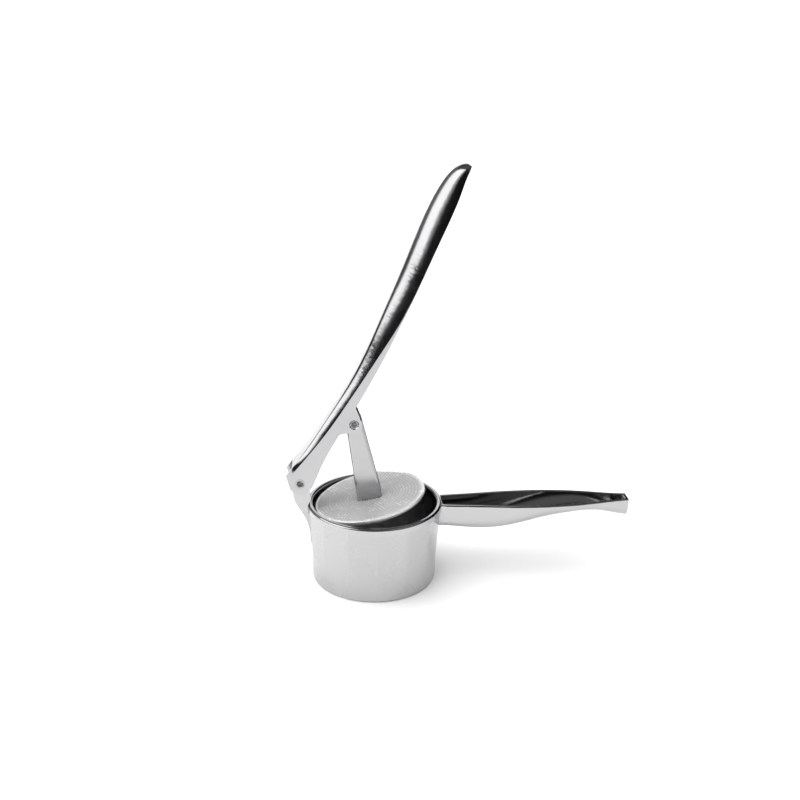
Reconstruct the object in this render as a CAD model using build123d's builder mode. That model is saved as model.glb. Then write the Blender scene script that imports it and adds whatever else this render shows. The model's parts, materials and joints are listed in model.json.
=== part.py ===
"""Potato ricer: a cast aluminium pot with a hollow handle, a cast lever hinged to its lug, and a
pressed steel plate carried on a link under the lever.

Frame: origin at the centre of the flat base, +Z up, +X towards the lower handle, the hinge on -X.
Units are millimetres. The lever stands open, with the plate just entering the mouth of the pot.
"""
from build123d import *
import math
import os

# --- pot -------------------------------------------------------------------------------------
POT_HEIGHT = 56.0
RIM_RADIUS = 46.5
RIM_BAND = 4.6               # height of the plain band under the rim
FACETS = 14
FACET_TOP_RADIUS = 45.7      # corners of the facets just under the band
BASE_RADIUS = 42.9           # the facets fade out into a round foot
FOOT_HEIGHT = 1.5
FOOT_ROUNDING = 1.2
BORE_TOP_RADIUS = 42.8       # the chamber narrows slightly downwards
BORE_LEDGE_RADIUS = 41.0
LEDGE_HEIGHT = 3.0           # the sieve disc lies on this ledge
OUTLET_RADIUS = 37.0
RIM_EDGE = 1.5               # rounding of the rim outside
MOUTH_EDGE = 1.4             # and inside

# --- sieve disc ------------------------------------------------------------------------------
SIEVE_RADIUS = 40.7
SIEVE_THICKNESS = 1.2
SIEVE_HOLE_RADIUS = 1.5
SIEVE_PITCH = 4.8
SIEVE_ROWS = 6               # rings of holes round the middle one

# --- main hinge and its lug --------------------------------------------------------------------
HINGE_X = -50.9
HINGE_Z = 72.6
LUG_HALF = 6.2               # half width of the lug, between the lever's cheeks
LUG_RADIUS = 6.6             # round top about the hinge
LUG_BACK_ANGLE = 200.0       # where the lug's back runs into the round top, in degrees from +X
LUG_FOOT = (-44.2, 27.0)     # just inside the pot's wall
LUG_BACK = [(-48.9, 48.2), (-54.9, 59.3)]    # points that the lug's back passes through
LUG_ROOT_X = -40.0           # well inside the wall, trimmed away by the bore

# --- lower handle ------------------------------------------------------------------------------
HANDLE_RIM_Z = 54.5
HANDLE_WALL = 2.4
HANDLE_EDGE = 0.8            # rounding of the handle's rim, outside and inside
HANDLE_ROOT_X = 43.5
HANDLE_END_X = 178.3
SAME_HEIGHT = 0.01           # edges within this height of the rim lie on it
HANG_HOLE_RADIUS = 1.6
HANG_HOLE_DROP = 3.6         # hole centre below the handle's rim
# distance from the pot's axis, half width, depth, roundness of the section
HANDLE_STATIONS = [
    (HANDLE_ROOT_X, 9.0, 16.0, 0.30),
    (64.0, 10.8, 17.4, 0.34),
    (80.0, 12.4, 17.8, 0.42),
    (98.0, 13.8, 15.8, 0.60),
    (110.0, 14.1, 13.4, 0.75),
    (122.0, 13.9, 10.8, 0.84),
    (136.0, 12.8, 8.8, 0.88),
    (149.0, 10.8, 8.1, 0.88),
    (159.0, 8.6, 9.3, 0.86),
    (169.0, 6.6, 11.5, 0.82),
    (HANDLE_END_X, 5.4, 13.2, 0.78),
]

# --- lever -------------------------------------------------------------------------------------
LEVER_ANGLE = 62.0           # of the lever's axis above the horizontal, as it stands open
LEVER_WALL = 2.4
LEVER_HALF = 9.0             # half width over the cheeks
LEVER_START = -9.0           # the stock ends here before the cheeks are rounded
STOCK_HEIGHT = 40.0          # more than the lever's height at the cheeks
CHEEK_RADIUS = 7.6
CHEEK_TOE = (-6.3, -7.2)     # lowest corner of the cheeks, at the end of the rim
LEVER_EDGE = 0.25            # rounding of the lever's rim
WEB_START = 7.5              # the back of the channel is cut away as far as this
WEB_CORNER = (0.4, 10.5)     # highest corner of the cheeks, beside the hinge
# distance from the hinge, half width, rim, back, width and height of the corners,
# lean of the sides, lean at which the corners leave the sides, fullness beside the back
LEVER_STATIONS = [
    (LEVER_START, LEVER_HALF, -7.2, 10.9, 2.0, 2.8, 0, 0.4, 0.28),
    (15.0, LEVER_HALF, -7.2, 8.4, 2.0, 2.8, 0, 0.4, 0.28),
    (40.0, LEVER_HALF, -6.9, 5.5, 3.5, 4.3, 0, 0.4, 0.30),
    (64.0, 9.2, -7.8, 3.7, 4.8, 5.0, 0, 0.38, 0.35),
    (85.0, 9.9, -8.0, 3.1, 6.6, 5.9, 0, 0.35, 0.42),
    (107.0, 11.1, -7.6, 4.2, 8.0, 8.4, 0, 0.32, 0.45),
    (130.0, 12.4, -6.3, 6.3, 10.0, 11.5, 0.08, 0.34, 0.48),
    (155.0, 13.5, -4.5, 8.6, 12.8, 12.4, 0.20, 0.36, 0.50),
    (180.0, 14.0, -2.3, 11.6, 13.6, 12.8, 0.26, 0.32, 0.55),
    (203.0, 13.4, -0.6, 13.5, 12.9, 12.6, 0.28, 0.30, 0.55),
    (218.0, 11.9, 0.9, 13.2, 11.4, 10.6, 0.28, 0.28, 0.55),
    (229.0, 9.6, 2.3, 11.0, 9.1, 6.6, 0.28, 0.28, 0.55),
    (233.5, 8.4, 2.5, 8.5, 7.6, 4.2, 0.28, 0.28, 0.55),
    (236.2, 6.8, 2.7, 5.4, 5.6, 1.8, 0.28, 0.28, 0.55),
]
SIDE_FULLNESS = 0.32         # of the corners beside the sides, all along
INNER_CORNER = 0.8           # smallest corner inside the castings

# --- link and its pin ----------------------------------------------------------------------------
LINK_PIN_U = 53.9            # along the lever's axis from the hinge
LINK_PIN_V = -12.6           # below the lever's axis
EAR_RADIUS = 5.1
EAR_HALF = 8.3               # half width over the ears, which are set in from the lever's sides
EAR_NECK = 35.0              # where the ear's straight sides meet its round end, in degrees
EAR_ROOT_DEPTH = -5.5        # the ears start inside the lever's sides
EAR_ROOT_NEAR = 42.0         # where the ear leaves the lever's rim, either side of its pin
EAR_ROOT_FAR = 66.5
LINK_TILT = 11.3             # the link leans this far from the vertical
LINK_LENGTH = 56.2           # from its pin to the top of the plate
LINK_HALF = 6.2
LINK_SHEET = 1.5
LINK_TOP_HALF = 5.6          # half breadth of a leg at the pin
LINK_FOOT_HALF = 8.8         # half breadth of a leg at the plate
LINK_WEB_END = 42.0          # the web stops this far below the pin
TAB_LEFT = -5.6
TAB_RIGHT = 7.4
TAB_DROP = 2.6               # tabs stand this far through the plate
LINK_FOLD = 2.2

# --- press plate ---------------------------------------------------------------------------------
PLATE_RADIUS = 38.2
PLATE_SHEET = 1.2
PLATE_EDGE = 2.4             # height of the rolled edge
PLATE_EDGE_WIDTH = 1.3
PLATE_EDGE_ROUNDING = 0.9
SLOT_GAP = 0.1               # at the ends of the slots
SLOT_SIDE_GAP = 0.6          # beside the link's tabs

# --- pins ------------------------------------------------------------------------------------------
PIN_RADIUS = 2.5
PIN_RUNNING_GAP = 0.05
PIN_SEAT_GAP = 0.02
PIN_HEAD_RADIUS = 3.3
PIN_HEAD_DEPTH = 0.8

# --- frames of the moving parts ------------------------------------------------------------------
lever_cos = math.cos(math.radians(LEVER_ANGLE))
lever_sin = math.sin(math.radians(LEVER_ANGLE))
LINK_PIN_X = HINGE_X + LINK_PIN_U * lever_cos - LINK_PIN_V * lever_sin
LINK_PIN_Z = HINGE_Z + LINK_PIN_U * lever_sin + LINK_PIN_V * lever_cos
link_cos = math.cos(math.radians(LINK_TILT))
link_sin = math.sin(math.radians(LINK_TILT))

side_view = Plane.XZ                     # local x is +X, local y is +Z, normal -Y
lever_side = Plane(origin=(HINGE_X, 0, HINGE_Z), x_dir=(lever_cos, 0, lever_sin), z_dir=(0, -1, 0))
link_side = Plane(origin=(LINK_PIN_X, 0, LINK_PIN_Z), x_dir=(link_cos, 0, link_sin), z_dir=(0, -1, 0))
plate_plane = Plane(
    origin=(LINK_PIN_X + LINK_LENGTH * link_sin, 0, LINK_PIN_Z - LINK_LENGTH * link_cos),
    x_dir=(link_cos, 0, link_sin),
    z_dir=(-link_sin, 0, link_cos),
)

ROUND = (0.55, 0.55)                     # fullness of a corner that is a round quarter

os.makedirs("parts", exist_ok=True)


def arch_section(plane, half, rim, back, corner, edge, lean=0, corner_lean=0, full=ROUND):
    """Closed arch across a channel: sides up from the rounded rim, turned over to the back.

    corner is the width and height of the turned stretch. lean draws the sides together, and
    corner_lean is how the turned stretch leaves them. full is how far the turned stretch follows
    the side and the back, as shares of its own height and width.
    """
    up = math.copysign(1, back - rim)
    width, height = corner
    side = abs(back - rim) - height
    top_half = half - lean * side
    side_pull, back_pull = full
    with BuildSketch(plane, mode=Mode.PRIVATE) as section:
        with BuildLine():
            rim_corner = Bezier((half - edge, rim), (half, rim), (half - lean * edge, rim + up * edge))
            flank = Line(rim_corner @ 1, (top_half, back - up * height))
            turn = Bezier(
                flank @ 1,
                (top_half - corner_lean * side_pull * height, back - up * (1 - side_pull) * height),
                (half - (1 - back_pull) * width, back),
                (half - width, back),
            )
            crown = Line(turn @ 1, (width - half, back))
            far_turn = Bezier(
                crown @ 1,
                ((1 - back_pull) * width - half, back),
                (corner_lean * side_pull * height - top_half, back - up * (1 - side_pull) * height),
                (-top_half, back - up * height),
            )
            far_flank = Line(far_turn @ 1, (lean * edge - half, rim + up * edge))
            far_rim_corner = Bezier(far_flank @ 1, (-half, rim), (edge - half, rim))
            Line(far_rim_corner @ 1, rim_corner @ 0)
        make_face()
    return section.sketch


def handle_section(x, half, depth, roundness, wall):
    """Section of the lower handle, open upwards; wall shrinks it to the hollow inside."""
    plane = Plane(origin=(x, 0, HANDLE_RIM_Z), x_dir=(0, 1, 0), z_dir=(1, 0, 0))
    corner = (roundness * (half - wall), roundness * depth)
    open_side = wall                     # the hollow's section runs on above the rim
    return arch_section(plane, half - wall, open_side, wall - depth, corner, HANDLE_EDGE)


def lever_section(u, half, rim, back, width, height, lean, corner_lean, fullness, wall):
    """Section of the lever at a distance u from the hinge, open towards the pot."""
    plane = Plane(
        origin=(HINGE_X + u * lever_cos, 0, HINGE_Z + u * lever_sin),
        x_dir=(0, 1, 0),
        z_dir=(lever_cos, 0, lever_sin),
    )
    corner = (max(width - wall, INNER_CORNER), max(height - wall, INNER_CORNER))
    full = (SIDE_FULLNESS, fullness)
    return arch_section(
        plane, half - wall, rim - wall, back - wall, corner, LEVER_EDGE, lean, corner_lean, full
    )


def pin_profile(half_length):
    """Half outline of a rivet about its own axis, flared into both countersinks."""
    with BuildLine() as outline:
        Polyline(
            (0, -half_length),
            (PIN_HEAD_RADIUS, -half_length),
            (PIN_RADIUS, -half_length + PIN_HEAD_DEPTH),
            (PIN_RADIUS, half_length - PIN_HEAD_DEPTH),
            (PIN_HEAD_RADIUS, half_length),
            (0, half_length),
            close=True,
        )
    return outline.line


# --- sieve disc: perforated steel disc lying on the pot's ledge -----------------------------------
with BuildPart() as sieve_disc:
    with BuildSketch(Plane.XY.offset(LEDGE_HEIGHT)):
        Circle(SIEVE_RADIUS)
    extrude(amount=SIEVE_THICKNESS)
    with BuildSketch(Plane.XY.offset(LEDGE_HEIGHT)):
        for ring in range(SIEVE_ROWS + 1):
            count = max(1, 6 * ring)
            with PolarLocations(ring * SIEVE_PITCH, count):
                Circle(SIEVE_HOLE_RADIUS)
    extrude(amount=SIEVE_THICKNESS, mode=Mode.SUBTRACT)
sieve_disc.part.label = "sieve_disc"
export_step(sieve_disc.part, "parts/sieve_disc.step")

# --- pot body: one casting with the hinge lug and the hollow lower handle ---------------------------
facet_half = math.pi / FACETS
band_z = POT_HEIGHT - RIM_BAND

with BuildPart() as pot_body:
    # Foot, then facets that fade from a polygon under the band into the round foot.
    with BuildSketch(Plane.XY):
        Circle(BASE_RADIUS)
    extrude(amount=FOOT_HEIGHT)
    fillet(pot_body.faces().sort_by(Axis.Z)[0].edges(), FOOT_ROUNDING)
    with BuildSketch(Plane.XY.offset(FOOT_HEIGHT)):
        Circle(BASE_RADIUS)
    with BuildSketch(Plane.XY.offset(band_z)):
        with BuildLine():
            corners = [(2 * facet + 1) * facet_half for facet in range(FACETS)]
            Polyline(
                [(FACET_TOP_RADIUS * math.cos(a), FACET_TOP_RADIUS * math.sin(a)) for a in corners],
                close=True,
            )
        make_face()
    loft(ruled=True)

    # Band and rim.
    with BuildSketch(Plane.XY.offset(band_z)):
        Circle(RIM_RADIUS)
    extrude(amount=RIM_BAND)
    fillet(pot_body.faces().sort_by(Axis.Z)[-1].edges(), RIM_EDGE)

    # Hinge lug: rises from the wall between the lever's cheeks, rounded about the hinge.
    back_turn = math.radians(LUG_BACK_ANGLE)
    with BuildSketch(side_view):
        with BuildLine():
            back_edge = Spline(
                LUG_FOOT,
                *LUG_BACK,
                (HINGE_X + LUG_RADIUS * math.cos(back_turn), HINGE_Z + LUG_RADIUS * math.sin(back_turn)),
                tangents=[(0, 1), (math.sin(back_turn), -math.cos(back_turn))],
            )
            Polyline(
                back_edge @ 1,
                (HINGE_X, HINGE_Z),
                (HINGE_X + LUG_RADIUS, HINGE_Z),
                (HINGE_X + LUG_RADIUS, POT_HEIGHT),
                (LUG_ROOT_X, POT_HEIGHT),
                (LUG_ROOT_X, LUG_FOOT[1]),
                back_edge @ 0,
            )
        make_face()
        with Locations((HINGE_X, HINGE_Z)):
            Circle(LUG_RADIUS)
    extrude(amount=LUG_HALF, both=True)

    # Lower handle: solid form first, hollow afterwards.
    outer_sections = [
        handle_section(x, half, depth, roundness, 0) for x, half, depth, roundness in HANDLE_STATIONS
    ]
    loft(outer_sections)
    inner_sections = []
    for x, half, depth, roundness in HANDLE_STATIONS:
        inner_x = min(max(x, RIM_RADIUS), HANDLE_END_X - HANDLE_WALL)
        inner_sections.append(handle_section(inner_x, half, depth, roundness, HANDLE_WALL))
    loft(inner_sections, mode=Mode.SUBTRACT)
    # The hollow's rim: its edges are all shorter than the handle itself.
    hollow_length = HANDLE_END_X - HANDLE_WALL - RIM_RADIUS
    rim_edges = pot_body.edges().filter_by_position(
        Axis.Z, HANDLE_RIM_Z - SAME_HEIGHT, HANDLE_RIM_Z + SAME_HEIGHT
    )
    rim_edges = rim_edges.filter_by_position(Axis.X, RIM_RADIUS + HANDLE_EDGE, HANDLE_END_X - HANDLE_EDGE)
    fillet(rim_edges.filter_by(lambda edge: edge.length < hollow_length), HANDLE_EDGE)

    # Rim, bore, ledge and outlet: turned last, so that nothing stands into the chamber.
    with BuildSketch(side_view):
        with BuildLine():
            mouth = CenterArc(
                (BORE_TOP_RADIUS + MOUTH_EDGE, POT_HEIGHT - MOUTH_EDGE), MOUTH_EDGE, 90, 90
            )
            Polyline(
                mouth @ 1,
                (BORE_LEDGE_RADIUS, LEDGE_HEIGHT),
                (OUTLET_RADIUS, LEDGE_HEIGHT),
                (OUTLET_RADIUS, 0),
                (0, 0),
                (0, POT_HEIGHT + 1),
                ((mouth @ 0).X, POT_HEIGHT + 1),
                mouth @ 0,
            )
        make_face()
    revolve(axis=Axis.Z, mode=Mode.SUBTRACT)

    # Hinge bore.
    with BuildSketch(side_view):
        with Locations((HINGE_X, HINGE_Z)):
            Circle(PIN_RADIUS + PIN_RUNNING_GAP)
    extrude(amount=LUG_HALF, both=True, mode=Mode.SUBTRACT)

    # Hanging hole through the end wall of the handle.
    with BuildSketch(Plane.YZ.offset(HANDLE_END_X - 2 * HANDLE_WALL)):
        with Locations((0, HANDLE_RIM_Z - HANG_HOLE_DROP)):
            Circle(HANG_HOLE_RADIUS)
    extrude(amount=3 * HANDLE_WALL, mode=Mode.SUBTRACT)
pot_body.part.label = "pot_body"
export_step(pot_body.part, "parts/pot_body.step")

# --- lever: cast channel with rounded cheeks and two ears ----------------------------------------
with BuildPart() as lever:
    loft([lever_section(*station, 0) for station in LEVER_STATIONS])

    # Ears that carry the link's pin.
    ear_neck_u = EAR_RADIUS * math.cos(math.radians(EAR_NECK))
    ear_neck_v = EAR_RADIUS * math.sin(math.radians(EAR_NECK))
    with BuildSketch(lever_side):
        with BuildLine():
            Polyline(
                (EAR_ROOT_NEAR, EAR_ROOT_DEPTH),
                (LINK_PIN_U - ear_neck_u, LINK_PIN_V - ear_neck_v),
                (LINK_PIN_U, LINK_PIN_V),
                (LINK_PIN_U + ear_neck_u, LINK_PIN_V - ear_neck_v),
                (EAR_ROOT_FAR, EAR_ROOT_DEPTH),
                close=True,
            )
        make_face()
        with Locations((LINK_PIN_U, LINK_PIN_V)):
            Circle(EAR_RADIUS)
    extrude(amount=EAR_HALF, both=True)

    # Hollow of the channel, out through the open side and the hinge end.
    loft([lever_section(*station, LEVER_WALL) for station in LEVER_STATIONS[:-1]], mode=Mode.SUBTRACT)
    ear_tip = LINK_PIN_V - EAR_RADIUS - 1
    with BuildSketch(lever_side):
        with BuildLine():
            Polyline(
                (LEVER_START - 1, ear_tip),
                (EAR_ROOT_FAR + EAR_RADIUS, ear_tip),
                (EAR_ROOT_FAR + EAR_RADIUS, EAR_ROOT_DEPTH),
                (EAR_ROOT_NEAR, 0),
                (LEVER_START - 1, 0),
                close=True,
            )
        make_face()
    extrude(amount=LEVER_HALF - LEVER_WALL, both=True, mode=Mode.SUBTRACT)

    # The back is cut away beside the tongue, and the cheeks are rounded about the hinge.
    with BuildSketch(lever_side):
        with Locations((WEB_START, 0)):
            Rectangle(2 * WEB_START - 2 * LEVER_START, STOCK_HEIGHT, align=(Align.MAX, Align.CENTER))
    extrude(amount=LEVER_HALF - LEVER_WALL, both=True, mode=Mode.SUBTRACT)
    # The line from the toe touches the round at this angle.
    toe_distance = math.hypot(*CHEEK_TOE)
    touch = math.atan2(-CHEEK_TOE[1], -CHEEK_TOE[0]) - math.acos(CHEEK_RADIUS / toe_distance)
    cheek_cos = math.cos(touch)
    cheek_sin = math.sin(touch)
    with BuildSketch(lever_side):
        Rectangle(-2 * LEVER_START, STOCK_HEIGHT, align=(Align.MAX, Align.CENTER))
        Circle(CHEEK_RADIUS, mode=Mode.SUBTRACT)
        with BuildLine():
            Polyline(
                (-CHEEK_RADIUS * math.sqrt(0.5), CHEEK_RADIUS * math.sqrt(0.5)),
                WEB_CORNER,
                (WEB_CORNER[0], CHEEK_TOE[1]),
                CHEEK_TOE,
                (-CHEEK_RADIUS * cheek_cos, -CHEEK_RADIUS * cheek_sin),
                close=True,
            )
        make_face(mode=Mode.SUBTRACT)
    extrude(amount=LEVER_HALF + 1, both=True, mode=Mode.SUBTRACT)

    # Pin holes, countersunk outside.
    for hole_u, hole_v, half in ((0, 0, LEVER_HALF), (LINK_PIN_U, LINK_PIN_V, EAR_HALF)):
        for side in (1, -1):
            cheek = Plane(
                origin=lever_side.from_local_coords((hole_u, hole_v, side * half)),
                x_dir=(1, 0, 0),
                z_dir=(0, -side, 0),
            )
            with Locations(cheek):
                CounterSinkHole(
                    radius=PIN_RADIUS + PIN_SEAT_GAP,
                    counter_sink_radius=PIN_HEAD_RADIUS + PIN_SEAT_GAP,
                    depth=2 * LEVER_WALL,
                    counter_sink_angle=90,
                )
lever.part.label = "lever"
export_step(lever.part, "parts/lever.step")

# --- hinge pin and link pin: rivets through the cheeks and through the ears ------------------------
with BuildPart() as hinge_pin:
    with BuildSketch(Plane(origin=(HINGE_X, 0, HINGE_Z), x_dir=(1, 0, 0), z_dir=(0, 0, 1))):
        add(pin_profile(LEVER_HALF))
        make_face()
    revolve(axis=Axis((HINGE_X, 0, HINGE_Z), (0, 1, 0)))
hinge_pin.part.label = "hinge_pin"
export_step(hinge_pin.part, "parts/hinge_pin.step")

with BuildPart() as link_pin:
    with BuildSketch(Plane(origin=(LINK_PIN_X, 0, LINK_PIN_Z), x_dir=(1, 0, 0), z_dir=(0, 0, 1))):
        add(pin_profile(EAR_HALF))
        make_face()
    revolve(axis=Axis((LINK_PIN_X, 0, LINK_PIN_Z), (0, 1, 0)))
link_pin.part.label = "link_pin"
export_step(link_pin.part, "parts/link_pin.step")

# --- link: U-shaped steel stamping, two legs joined by a web on the hinge side --------------------
with BuildPart() as press_link:
    with BuildSketch(link_side):
        with BuildLine():
            Polyline(
                (-LINK_TOP_HALF, 0),
                (-LINK_FOOT_HALF, -LINK_LENGTH),
                (LINK_FOOT_HALF, -LINK_LENGTH),
                (LINK_TOP_HALF, 0),
                close=True,
            )
        make_face()
        Circle(LINK_TOP_HALF)
    extrude(amount=LINK_HALF, both=True)
    long_edges = press_link.edges().filter_by(lambda edge: edge.length > LINK_WEB_END)
    fillet(long_edges.sort_by(Axis.X)[:2], LINK_FOLD)
    # Inside of the U, open on the handle side, above and below.
    with BuildSketch(link_side):
        with BuildLine():
            Polyline(
                (LINK_SHEET - LINK_TOP_HALF, 2 * LINK_TOP_HALF),
                (LINK_SHEET - LINK_TOP_HALF, 0),
                (LINK_SHEET - LINK_FOOT_HALF, -LINK_LENGTH),
                (LINK_FOOT_HALF, -LINK_LENGTH),
                (LINK_FOOT_HALF, 2 * LINK_TOP_HALF),
                close=True,
            )
        make_face()
    extrude(amount=LINK_HALF - LINK_SHEET, both=True, mode=Mode.SUBTRACT)
    # The web ends above the plate, and only the folds beside it run on down to the feet.
    foot_height = LINK_LENGTH - LINK_WEB_END
    with BuildSketch(link_side):
        with Locations((TAB_LEFT, -LINK_LENGTH)):
            Rectangle(LINK_FOOT_HALF, foot_height, align=(Align.MAX, Align.MIN))
    extrude(amount=LINK_HALF - LINK_FOLD, both=True, mode=Mode.SUBTRACT)
    # Tabs through the plate.
    for side in (1, -1):
        with BuildSketch(link_side.offset(side * (LINK_HALF - LINK_SHEET / 2))):
            with Locations(((TAB_LEFT + TAB_RIGHT) / 2, -LINK_LENGTH - TAB_DROP / 2)):
                Rectangle(TAB_RIGHT - TAB_LEFT, TAB_DROP)
        extrude(amount=LINK_SHEET / 2, both=True)
    with BuildSketch(link_side):
        Circle(PIN_RADIUS + PIN_RUNNING_GAP)
    extrude(amount=LINK_HALF, both=True, mode=Mode.SUBTRACT)
press_link.part.label = "press_link"
export_step(press_link.part, "parts/press_link.step")

# --- press plate: round steel sheet with a rolled edge and two slots for the link's tabs ----------
with BuildPart() as press_plate:
    with BuildSketch(plate_plane.offset(-PLATE_EDGE)):
        Circle(PLATE_RADIUS)
    extrude(amount=PLATE_EDGE)
    top_edge = press_plate.faces().sort_by(Axis(plate_plane.origin, plate_plane.z_dir))[-1].edges()
    fillet(top_edge, PLATE_EDGE_ROUNDING)
    with BuildSketch(plate_plane.offset(-PLATE_EDGE)):
        Circle(PLATE_RADIUS - PLATE_EDGE_WIDTH)
    extrude(amount=PLATE_EDGE - PLATE_SHEET, mode=Mode.SUBTRACT)
    with BuildSketch(plate_plane.offset(-PLATE_EDGE)):
        for side in (1, -1):
            with Locations(((TAB_LEFT + TAB_RIGHT) / 2, side * (LINK_HALF - LINK_SHEET / 2))):
                Rectangle(TAB_RIGHT - TAB_LEFT + 2 * SLOT_GAP, LINK_SHEET + 2 * SLOT_SIDE_GAP)
    extrude(amount=PLATE_EDGE, mode=Mode.SUBTRACT)
press_plate.part.label = "press_plate"
export_step(press_plate.part, "parts/press_plate.step")
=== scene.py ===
"""Potato ricer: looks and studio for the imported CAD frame. Blender units are metres."""
import json
import math

import bmesh
import bpy
from mathutils import Matrix, Vector, noise


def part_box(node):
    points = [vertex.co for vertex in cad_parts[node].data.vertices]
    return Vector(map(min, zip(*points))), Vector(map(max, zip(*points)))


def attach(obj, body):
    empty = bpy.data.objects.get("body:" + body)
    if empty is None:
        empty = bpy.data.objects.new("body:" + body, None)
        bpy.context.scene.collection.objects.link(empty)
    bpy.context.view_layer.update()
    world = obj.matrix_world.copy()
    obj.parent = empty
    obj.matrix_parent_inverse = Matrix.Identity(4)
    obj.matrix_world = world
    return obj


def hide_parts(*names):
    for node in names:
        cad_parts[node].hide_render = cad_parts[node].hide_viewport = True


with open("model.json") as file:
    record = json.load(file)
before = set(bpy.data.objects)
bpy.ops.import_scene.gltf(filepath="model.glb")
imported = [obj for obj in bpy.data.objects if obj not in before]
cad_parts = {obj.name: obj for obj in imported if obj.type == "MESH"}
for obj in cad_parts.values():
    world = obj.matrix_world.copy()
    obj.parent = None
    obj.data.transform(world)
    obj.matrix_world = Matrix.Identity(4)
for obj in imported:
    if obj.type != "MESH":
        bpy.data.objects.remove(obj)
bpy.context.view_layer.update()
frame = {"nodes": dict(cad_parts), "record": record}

MM = 0.001
nodes = frame["nodes"]
behaviour = frame["record"]["behaviour"]
joint_place = {joint["name"]: Vector(joint["pos_m"]) for joint in behaviour["joints"]}

# --- camera ------------------------------------------------------------------------------------
VIEW_AZIMUTH = math.radians(-5.0)
VIEW_ELEVATION = math.radians(19.65)
VIEW_ROLL = math.radians(1.02)
VIEW_DISTANCE = 700 * MM            # along the view axis to the middle of the pot's base
VIEW_RIGHT = 18.5 * MM              # how far the view axis passes right of and above that point
VIEW_UP = 121.3 * MM
LENS = 44.36
SENSOR = 36.0


def make_camera():
    az, el = VIEW_AZIMUTH, VIEW_ELEVATION
    forward = Vector((-math.sin(az) * math.cos(el), math.cos(az) * math.cos(el), -math.sin(el)))
    level = Vector((math.cos(az), math.sin(az), 0))
    upright = level.cross(forward)
    right = level * math.cos(VIEW_ROLL) + upright * math.sin(VIEW_ROLL)
    up = upright * math.cos(VIEW_ROLL) - level * math.sin(VIEW_ROLL)
    data = bpy.data.cameras.new("camera")
    data.lens = LENS
    data.sensor_width = SENSOR
    data.clip_start = 0.01
    camera = bpy.data.objects.new("camera", data)
    bpy.context.scene.collection.objects.link(camera)
    turn = Matrix((right, up, -forward)).transposed().to_4x4()
    place = right * VIEW_RIGHT + up * VIEW_UP - forward * VIEW_DISTANCE
    camera.matrix_world = Matrix.Translation(place) @ turn
    bpy.context.scene.camera = camera


make_camera()


# --- materials ---------------------------------------------------------------------------------
class Surface:
    """A Principled metal whose colour, roughness and bump are driven by object-space noise."""

    def __init__(self, name, colour, roughness):
        self.material = bpy.data.materials.new(name)
        self.material.use_nodes = True
        self.tree = self.material.node_tree
        self.tree.nodes.clear()
        out = self.new("ShaderNodeOutputMaterial")
        self.shader = self.new("ShaderNodeBsdfPrincipled")
        self.link(self.shader.outputs["BSDF"], out.inputs["Surface"])
        self.shader.inputs["Base Color"].default_value = (*colour, 1)
        self.shader.inputs["Metallic"].default_value = 1
        self.shader.inputs["Roughness"].default_value = roughness
        self.place = self.new("ShaderNodeTexCoord").outputs["Object"]
        self.bump = None

    def new(self, kind, **settings):
        node = self.tree.nodes.new(kind)
        for key, value in settings.items():
            setattr(node, key, value)
        return node

    def link(self, source, target):
        self.tree.links.new(source, target)

    def stretched(self, turn, scale):
        """Object coordinates turned, then scaled unevenly, so that noise draws out into lines."""
        turned = self.new("ShaderNodeMapping")
        turned.inputs["Rotation"].default_value = turn
        scaled = self.new("ShaderNodeMapping")
        scaled.inputs["Scale"].default_value = scale
        self.link(self.place, turned.inputs["Vector"])
        self.link(turned.outputs["Vector"], scaled.inputs["Vector"])
        return scaled.outputs["Vector"]

    def noise(self, vector, scale, detail=2.0, roughness=0.5):
        node = self.new("ShaderNodeTexNoise")
        node.inputs["Scale"].default_value = scale
        node.inputs["Detail"].default_value = detail
        node.inputs["Roughness"].default_value = roughness
        self.link(vector, node.inputs["Vector"])
        return node.outputs["Fac"]

    def ramp(self, value, low, high, low_value, high_value):
        node = self.new("ShaderNodeMapRange", clamp=True)
        limits = {"From Min": low, "From Max": high, "To Min": low_value, "To Max": high_value}
        for key, number in limits.items():
            node.inputs[key].default_value = number
        self.link(value, node.inputs["Value"])
        return node.outputs["Result"]

    def math(self, operation, first, second):
        node = self.new("ShaderNodeMath", operation=operation)
        for socket, value in zip(node.inputs, (first, second)):
            if isinstance(value, (int, float)):
                socket.default_value = value
            else:
                self.link(value, socket)
        return node.outputs[0]

    def add_bump(self, height, distance, strength=1.0):
        node = self.new("ShaderNodeBump")
        node.inputs["Distance"].default_value = distance
        node.inputs["Strength"].default_value = strength
        self.link(height, node.inputs["Height"])
        if self.bump:
            self.link(self.bump, node.inputs["Normal"])
        self.bump = node.outputs["Normal"]
        self.link(self.bump, self.shader.inputs["Normal"])

    def edge_wear(self, radius):
        """How far a face's normal is from the one that a rounded edge would have."""
        bevel = self.new("ShaderNodeBevel", samples=4)
        bevel.inputs["Radius"].default_value = radius
        flat = self.new("ShaderNodeNewGeometry")
        dot = self.new("ShaderNodeVectorMath", operation="DOT_PRODUCT")
        self.link(bevel.outputs["Normal"], dot.inputs[0])
        self.link(flat.outputs["Normal"], dot.inputs[1])
        return self.ramp(dot.outputs["Value"], 0.99, 0.8, 0.0, 1.0)

    def colours(self, value, low, high):
        node = self.new("ShaderNodeMix", data_type="RGBA")
        node.inputs["A"].default_value = (*low, 1)
        node.inputs["B"].default_value = (*high, 1)
        self.link(value, node.inputs["Factor"])
        self.link(node.outputs["Result"], self.shader.inputs["Base Color"])


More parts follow.
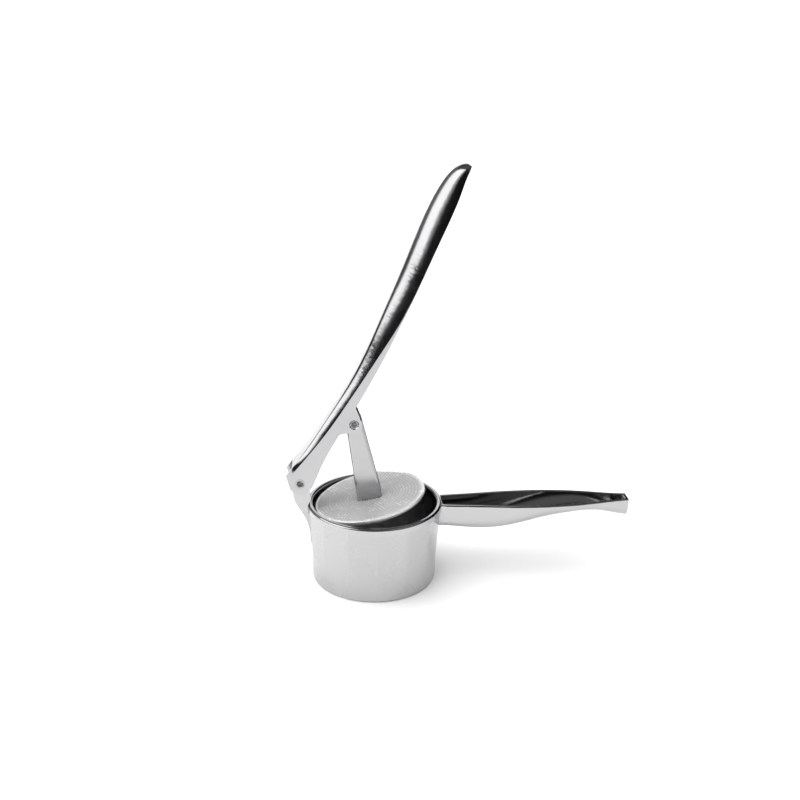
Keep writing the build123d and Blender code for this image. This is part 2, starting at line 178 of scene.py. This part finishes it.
CAST_WAVE = 0.12 * MM               # depths of the bumps
SCRATCH_DEPTH = 0.07 * MM           # for a scratch of 1
SPECK_DEPTH = 0.03 * MM             # for a scratch of 1
SHEET_WAVE = 0.08 * MM
GRAIN_DEPTH = 0.004 * MM
PUNCH_DEPTH = 0.3 * MM
CAST_EDGE = 0.6 * MM                # radius of the worn edges
SHEET_EDGE = 0.4 * MM
GRAIN_ROUGHNESS = 0.05
SATIN_ROUGHNESS = 0.15
SATIN_TOP = 1 * MM                  # over which the pot's satin fades out upwards
SATIN_SIDE = 3 * MM                 # over which it fades out towards the handle


def polished_casting(name, low, high, scratch, wave_scale, satin=None):
    """Cast aluminium, hand polished: slow waves, fine wheel scratches, specks and brighter edges.

    low and high are its colours, scratch is how much duller the rubbed streaks are, and wave_scale
    is how closely the slow waves follow each other along the three axes.
    satin names how far out and how high a duller, brushed stretch goes, which is the pot's side.
    """
    look = Surface(name, low, 0.1)
    waves = look.noise(look.stretched((0, 0, 0), wave_scale), 1.0, 1.0)
    specks = look.noise(look.place, 1400, 2.0)
    scratches = look.noise(look.stretched((0, math.radians(28), 0), (2500, 2500, 60)), 1.0, 2.0)
    cloud = look.noise(look.place, 45, 3.0)
    look.add_bump(waves, CAST_WAVE)
    look.add_bump(scratches, SCRATCH_DEPTH * scratch)
    look.add_bump(specks, SPECK_DEPTH * scratch)
    rough = look.ramp(cloud, 0.3, 0.7, 0.09, 0.15)
    rubbed = look.ramp(scratches, 0.35, 0.75, 0.0, scratch)
    rough = look.math("ADD", rough, rubbed)
    if satin:
        out, height = satin
        place = look.new("ShaderNodeSeparateXYZ")
        look.link(look.place, place.inputs["Vector"])
        below = look.ramp(place.outputs["Z"], height - SATIN_TOP, height, 1.0, 0.0)
        beside = look.ramp(place.outputs["X"], out, out + SATIN_SIDE, 1.0, 0.0)
        where = look.math("MULTIPLY", below, beside)
        rough = look.math("ADD", rough, look.math("MULTIPLY", where, SATIN_ROUGHNESS))
    look.link(rough, look.shader.inputs["Roughness"])
    wear = look.math("MULTIPLY", look.edge_wear(CAST_EDGE), 0.65)
    tone = look.math("ADD", look.ramp(cloud, 0.3, 0.7, 0.0, 0.35), wear)
    look.colours(tone, low, high)
    return look.material


def rolled_sheet(name, low, high, rough_low, rough_high, turn, metallic=1.0):
    """Steel sheet: rolling grain along one direction, faint stains and rubbed edges.

    rough_low and rough_high are its roughness, and turn is the direction of the grain. metallic below
    1 stands for a finish so scoured that part of the light is scattered all round.
    """
    look = Surface(name, low, rough_low)
    look.shader.inputs["Metallic"].default_value = metallic
    grain = look.noise(look.stretched(turn, (3000, 3000, 90)), 1.0, 3.0)
    stains = look.noise(look.place, 60, 4.0, 0.6)
    look.add_bump(look.noise(look.place, 90, 1.0), SHEET_WAVE)
    look.add_bump(grain, GRAIN_DEPTH)
    stained = look.ramp(stains, 0.3, 0.7, rough_low, rough_high)
    rough = look.math("ADD", stained, look.ramp(grain, 0.3, 0.7, 0.0, GRAIN_ROUGHNESS))
    look.link(rough, look.shader.inputs["Roughness"])
    wear = look.math("MULTIPLY", look.edge_wear(SHEET_EDGE), 0.5)
    look.colours(look.math("ADD", look.ramp(stains, 0.3, 0.7, 0.0, 0.5), wear), low, high)
    return look.material


def staked_steel_and_painted_shade():
    """Dark blunt rivet steel with punch marks. It lines the rivets' punched hollows, and its darkness is
    partly the staked steel's own colour and partly painted shade of the recess.
    """
    look = Surface("pin_steel", (0.2, 0.2, 0.205), 0.4)
    marks = look.noise(look.place, 900, 3.0, 0.7)
    look.add_bump(marks, PUNCH_DEPTH)
    look.link(look.ramp(marks, 0.3, 0.7, 0.3, 0.5), look.shader.inputs["Roughness"])
    look.colours(look.ramp(marks, 0.4, 0.7, 0.0, 1.0), (0.1, 0.1, 0.105), (0.5, 0.5, 0.51))
    return look.material


aluminium = polished_casting(
    "polished_aluminium", (0.435, 0.435, 0.44), (0.52, 0.52, 0.525), 0.05, (70, 70, 70)
)
pot_aluminium = polished_casting(
    "pot_aluminium", (0.48, 0.48, 0.485), (0.52, 0.52, 0.525), 0.01, (90, 90, 8), (0.0465, 0.0514)
)
link_steel = rolled_sheet(
    "sheet_steel", (0.42, 0.42, 0.425), (0.53, 0.53, 0.535), 0.14, 0.22, (0, math.radians(11), 0)
)
plate_steel = rolled_sheet(
    "plate_steel", (0.9, 0.9, 0.905), (0.96, 0.96, 0.965), 0.2, 0.28, (0, math.radians(90), 0), 0.45
)
# Darker steel for the plate's low flats between dimples and its slot floors. Its darkness is painted shade in
# these recesses, and its higher roughness is a duller finish.
hollow_painted_shade = rolled_sheet(
    "plate_hollow_painted_shade", (0.46, 0.46, 0.465), (0.54, 0.54, 0.545), 0.3, 0.4, (0, math.radians(90), 0), 0.5
)
pin_steel = staked_steel_and_painted_shade()
for name, material in {
    "pot_body": pot_aluminium, "lever": aluminium, "press_link": link_steel, "press_plate": plate_steel,
    "sieve_disc": plate_steel, "hinge_pin": pin_steel, "link_pin": pin_steel,
}.items():
    nodes[name].data.materials.clear()
    nodes[name].data.materials.append(material)


# --- press plate: dimpled disc ---------------------------------------------------------------------
PLATE_RADIUS = 38.2 * MM
PLATE_TILT = math.radians(11.3)
PLATE_SHEET = 1.2 * MM
EDGE_DEPTH = 2.4 * MM
EDGE_WIDTH = 1.3 * MM
DIMPLE_RINGS = 16
DIMPLE_PITCH = 2.2 * MM
DIMPLE_HEIGHT = 0.7 * MM
DIMPLE_SPREAD = 0.42                # radius of a dimple, as a share of the pitch
SLOT_NEAR = -5.7 * MM
SLOT_FAR = 7.5 * MM
SLOT_INNER = 4.1 * MM
SLOT_OUTER = 6.8 * MM
SLOT_DEPTH = 1.0 * MM
HOLLOW_SHARE = 0.3                  # of a dimple's height, below which the plate takes the darker steel that paints shade
ROUND_STEPS = 720
RADIAL_STEPS = 6                    # between one ring of dimples and the next


def dimple_height(radius, angle):
    """Height of the plate's top: raised dimples in concentric rings, six more in each ring."""
    ring = round(radius / DIMPLE_PITCH)
    if ring > DIMPLE_RINGS:
        return 0.0
    count = max(1, 6 * ring)
    step = 2 * math.pi / count
    along = (angle - round(angle / step) * step) * radius
    away = math.hypot(along, radius - ring * DIMPLE_PITCH) / (DIMPLE_SPREAD * DIMPLE_PITCH)
    return DIMPLE_HEIGHT * (0.5 + 0.5 * math.cos(math.pi * away)) if away < 1 else 0.0


def plate_height(radius, angle):
    """Dimples, and the two slots round the link's tabs."""
    x, y = radius * math.cos(angle), abs(radius * math.sin(angle))
    if SLOT_NEAR < x < SLOT_FAR and SLOT_INNER < y < SLOT_OUTER:
        return -SLOT_DEPTH
    return dimple_height(radius, angle)


def make_press_plate():
    """One closed skin: dimpled top, rolled edge and plain hollow underside, in the plate's own tilt."""
    field_steps = DIMPLE_RINGS * RADIAL_STEPS + RADIAL_STEPS // 2
    field = [i * DIMPLE_PITCH / RADIAL_STEPS for i in range(1, field_steps)]
    bead = EDGE_WIDTH / 2
    bead_middle = PLATE_RADIUS - bead
    rows = [(radius, None) for radius in field]
    arc_steps = 10
    rows.append((bead_middle - 1.25 * bead, 0.0))
    for i in range(arc_steps + 1):
        a = math.pi * (1 - i / arc_steps)
        rows.append((bead_middle + bead * math.cos(a), -0.15 * MM + 0.75 * bead * math.sin(a)))
    rows.append((PLATE_RADIUS, 0.2 * MM - EDGE_DEPTH))
    rows.append((PLATE_RADIUS - 0.2 * MM, -EDGE_DEPTH))
    rows.append((PLATE_RADIUS - EDGE_WIDTH, -EDGE_DEPTH))
    rows.append((PLATE_RADIUS - EDGE_WIDTH, -PLATE_SHEET))
    rows.append((PLATE_RADIUS / 2, -PLATE_SHEET))
    rows.append((DIMPLE_PITCH, -PLATE_SHEET))

    bm = bmesh.new()
    top = bm.verts.new((0, 0, DIMPLE_HEIGHT))
    circles = []
    for radius, height in rows:
        circle = []
        for k in range(ROUND_STEPS):
            angle = 2 * math.pi * k / ROUND_STEPS
            z = plate_height(radius, angle) if height is None else height
            circle.append(bm.verts.new((radius * math.cos(angle), radius * math.sin(angle), z)))
        circles.append(circle)
    bottom = bm.verts.new((0, 0, -PLATE_SHEET))
    for k in range(ROUND_STEPS):
        following = (k + 1) % ROUND_STEPS
        bm.faces.new((top, circles[0][k], circles[0][following]))
        for inner, outer in zip(circles, circles[1:]):
            bm.faces.new((inner[k], outer[k], outer[following], inner[following]))
        bm.faces.new((bottom, circles[-1][following], circles[-1][k]))
    field_radius = (DIMPLE_RINGS + DIMPLE_SPREAD) * DIMPLE_PITCH
    # The low faces of the dimpled field and the slot floors take the second, darker material: painted shade
    # in the hollows.
    for polygon in bm.faces:
        middle = polygon.calc_center_median()
        in_painted_shade = -SLOT_DEPTH * 1.1 < middle.z < HOLLOW_SHARE * DIMPLE_HEIGHT
        if in_painted_shade and middle.xy.length < field_radius:
            polygon.material_index = 1
    mesh = bpy.data.meshes.new("dimpled_press_plate")
    bm.to_mesh(mesh)
    bm.free()
    mesh.shade_smooth()
    plate = bpy.data.objects.new("dimpled_press_plate", mesh)
    bpy.context.scene.collection.objects.link(plate)
    low, high = (Vector(corner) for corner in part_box("press_plate"))
    tilt = Matrix.Rotation(-PLATE_TILT, 4, "Y")
    # The plate's solid lies between its underside and its top, so its box's middle is half a depth down.
    place = (low + high) / 2 + tilt.to_3x3() @ Vector((0, 0, EDGE_DEPTH / 2))
    mesh.transform(Matrix.Translation(place) @ tilt)
    mesh.materials.append(plate_steel)
    mesh.materials.append(hollow_painted_shade)
    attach(plate, "press_assembly")
    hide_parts("press_plate")


# --- rivets ------------------------------------------------------------------------------------------
SHANK_RADIUS = 2.5 * MM
HEAD_RADIUS = 3.25 * MM
HEAD_DEPTH = 0.8 * MM


def make_rivet(name, node, joint, sink, punch, depth, ragged):
    """Turned rivet with flush polished ends, each marked in the middle by a rough punched hollow. The hollow
    is lined with dark steel that is partly painted shade.

    sink is how far the ends lie below the faces. punch and depth are the hollow's radius and
    depth, and ragged is how unevenly its edge runs.
    """
    centre = joint_place[joint]
    low, high = (Vector(corner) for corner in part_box(node))
    half = (high.y - low.y) / 2
    face = half - sink
    rim = HEAD_RADIUS - sink * (HEAD_RADIUS - SHANK_RADIUS) / HEAD_DEPTH
    around, rings = 72, 18

    def hollow(radius, angle):
        wobble = noise.noise(Vector((3 * math.cos(angle), 3 * math.sin(angle), 40 * radius / MM)))
        reach = punch * (1 + ragged * wobble)
        pits = 0.7 + 0.6 * noise.noise(Vector((math.cos(angle), math.sin(angle), 2)) * radius / MM * 2)
        return depth * pits * min(1, max(0, (reach - radius) / (0.25 * punch)))

    outline = [(rim * i / rings, face) for i in range(1, rings + 1)] + [(SHANK_RADIUS, half - HEAD_DEPTH)]
    bm = bmesh.new()
    circles = []
    for side in (1, -1):
        for radius, reach in outline if side == 1 else reversed(outline):
            circle = []
            for k in range(around):
                angle = 2 * math.pi * k / around
                y = side * (reach - hollow(radius, angle) if reach == face else reach)
                circle.append(bm.verts.new((radius * math.cos(angle), y, radius * math.sin(angle))))
            circles.append(circle)
    ends = [bm.verts.new((0, side * (face - hollow(0, 0)), 0)) for side in (1, -1)]
    for k in range(around):
        following = (k + 1) % around
        bm.faces.new((ends[0], circles[0][following], circles[0][k]))
        for first, second in zip(circles, circles[1:]):
            bm.faces.new((first[k], first[following], second[following], second[k]))
        bm.faces.new((ends[1], circles[-1][k], circles[-1][following]))
    bmesh.ops.recalc_face_normals(bm, faces=bm.faces)
    # Faces deep in the punched hollow take the dark pin steel. Its darkness is partly the staked steel's own
    # colour and partly painted shade of the recess.
    for polygon in bm.faces:
        deepest = min(abs(corner.co.y) for corner in polygon.verts)
        if deepest < face - 0.15 * depth and abs(polygon.normal.y) > 0.1:
            polygon.material_index = 1
    mesh = bpy.data.meshes.new(name)
    bm.to_mesh(mesh)
    bm.free()
    mesh.transform(Matrix.Translation((centre.x, (low.y + high.y) / 2, centre.z)))
    mesh.shade_smooth()
    rivet = bpy.data.objects.new(name, mesh)
    bpy.context.scene.collection.objects.link(rivet)
    mesh.materials.append(link_steel)
    mesh.materials.append(pin_steel)
    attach(rivet, "lever_assembly")
    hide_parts(node)


make_press_plate()
make_rivet("staked_hinge_rivet", "hinge_pin", "lever_hinge", 0.02 * MM, 2.2 * MM, 0.6 * MM, 0.5)
make_rivet("sunk_link_rivet", "link_pin", "press_hinge", 0.6 * MM, 2.2 * MM, 0.45 * MM, 0.2)


# --- studio ------------------------------------------------------------------------------------
TABLE_FRONT = -1.0
TABLE_HALF = 2.5
BACKDROP = 3.0
BACKDROP_TOP = 0.58
BEND = 0.4
PART_MIDDLE = (0, 0, 0.12)


def make_floor():
    """White table that curves up into a low backdrop."""
    profile = [(TABLE_FRONT, 0), (BACKDROP - BEND, 0)]
    steps = 16
    for i in range(1, steps + 1):
        a = math.pi / 2 * i / steps
        profile.append((BACKDROP - BEND + BEND * math.sin(a), BEND - BEND * math.cos(a)))
    profile.append((BACKDROP, BACKDROP_TOP))
    mesh = bpy.data.meshes.new("floor")
    bm = bmesh.new()
    rows = [[bm.verts.new((x, y, z)) for x in (-TABLE_HALF, TABLE_HALF)] for y, z in profile]
    for lower, upper in zip(rows, rows[1:]):
        bm.faces.new((lower[0], lower[1], upper[1], upper[0]))
    bm.to_mesh(mesh)
    bm.free()
    mesh.shade_smooth()
    floor = bpy.data.objects.new("floor", mesh)
    bpy.context.scene.collection.objects.link(floor)
    material = bpy.data.materials.new("floor_white")
    material.use_nodes = True
    shader = material.node_tree.nodes["Principled BSDF"]
    shader.inputs["Base Color"].default_value = (0.95, 0.95, 0.95, 1)
    shader.inputs["Roughness"].default_value = 0.9
    shader.inputs["Specular IOR Level"].default_value = 0.1
    mesh.materials.append(material)


def area_light(name, bearing, height, distance, size, radiance, mirrored=True, fade=None, target=PART_MIDDLE):
    """Soft panel facing the target; one that isn't mirrored only lights the table and backdrop.

    bearing is in degrees from the back (+Y) towards the right, and height is the panel's middle.
    fade lists how bright the panel is at stations across it, from 0 at one side to 1 at the other.
    """
    turn = math.radians(bearing)
    place = Vector((distance * math.sin(turn), distance * math.cos(turn), height))
    data = bpy.data.lights.new(name, "AREA")
    data.shape = "RECTANGLE"
    data.size, data.size_y = size
    data.energy = math.pi * size[0] * size[1] * radiance
    if fade:
        data.use_nodes = True
        tree = data.node_tree
        across = tree.nodes.new("ShaderNodeSeparateXYZ")
        ramp = tree.nodes.new("ShaderNodeValToRGB")
        panel = tree.nodes.new("ShaderNodeNewGeometry")
        tree.links.new(panel.outputs["Parametric"], across.inputs["Vector"])
        tree.links.new(across.outputs["X"], ramp.inputs["Fac"])
        for station, (position, value) in enumerate(fade):
            stops = ramp.color_ramp.elements
            stop = stops[station] if station < 2 else stops.new(position)
            stop.position = position
            stop.color = (value, value, value, 1)
        tree.links.new(ramp.outputs["Color"], tree.nodes["Emission"].inputs["Strength"])
    light = bpy.data.objects.new(name, data)
    light.visible_glossy = mirrored
    light.visible_camera = False
    bpy.context.scene.collection.objects.link(light)
    aim = (Vector(target) - place).normalized()
    light.matrix_world = Matrix.Translation(place) @ aim.to_track_quat("-Z", "Y").to_matrix().to_4x4()


ROOM_DARK = 0.012
CEILING = 0.13


def make_world():
    """Dark room whose ceiling is a little lighter."""
    world = bpy.data.worlds.new("studio")
    bpy.context.scene.world = world
    world.use_nodes = True
    tree = world.node_tree
    place = tree.nodes.new("ShaderNodeTexCoord")
    split = tree.nodes.new("ShaderNodeSeparateXYZ")
    rise = tree.nodes.new("ShaderNodeMapRange")
    for key, value in (("From Min", 0.5), ("From Max", 0.9), ("To Min", ROOM_DARK), ("To Max", CEILING)):
        rise.inputs[key].default_value = value
    tree.links.new(place.outputs["Generated"], split.inputs["Vector"])
    tree.links.new(split.outputs["Z"], rise.inputs["Value"])
    tree.links.new(rise.outputs["Result"], tree.nodes["Background"].inputs["Strength"])
    tree.nodes["Background"].inputs["Color"].default_value = (1, 1, 1, 1)


LEFT_FADE = [
    (0.0, 0.1), (0.06, 0.2), (0.2, 0.65), (0.3, 1.0), (0.75, 1.0), (0.82, 0.46), (0.9, 0.19), (1.0, 0.06),
]
BACK_FADE = [(0.0, 0.0), (0.25, 1.0), (0.75, 1.0), (1.0, 0.0)]

make_floor()
make_world()
area_light("overhead_fill", -120, 2.1, 0.35, (3.0, 2.8), 2.6, mirrored=False)
area_light("table_fill", 0, 1.9, 2.2, (4.6, 1.2), 2.0, mirrored=False)
area_light("backdrop_wash", 0, 1.3, 1.9, (4.4, 0.5), 4.5, mirrored=False, target=(0, BACKDROP, 0.4))
area_light("left_softbox", -104, 1.08, 1.3, (2.1, 1.5), 2.1, fade=LEFT_FADE)
area_light("back_softbox", 2, 0.72, 1.6, (0.9, 0.62), 1.15, fade=BACK_FADE)
area_light("back_left_card", -46, 1.0, 1.55, (1.4, 1.2), 0.2)
area_light("right_card", 118, 1.65, 1.4, (2.4, 1.0), 0.3)
bpy.context.scene.view_settings.view_transform = "Standard"
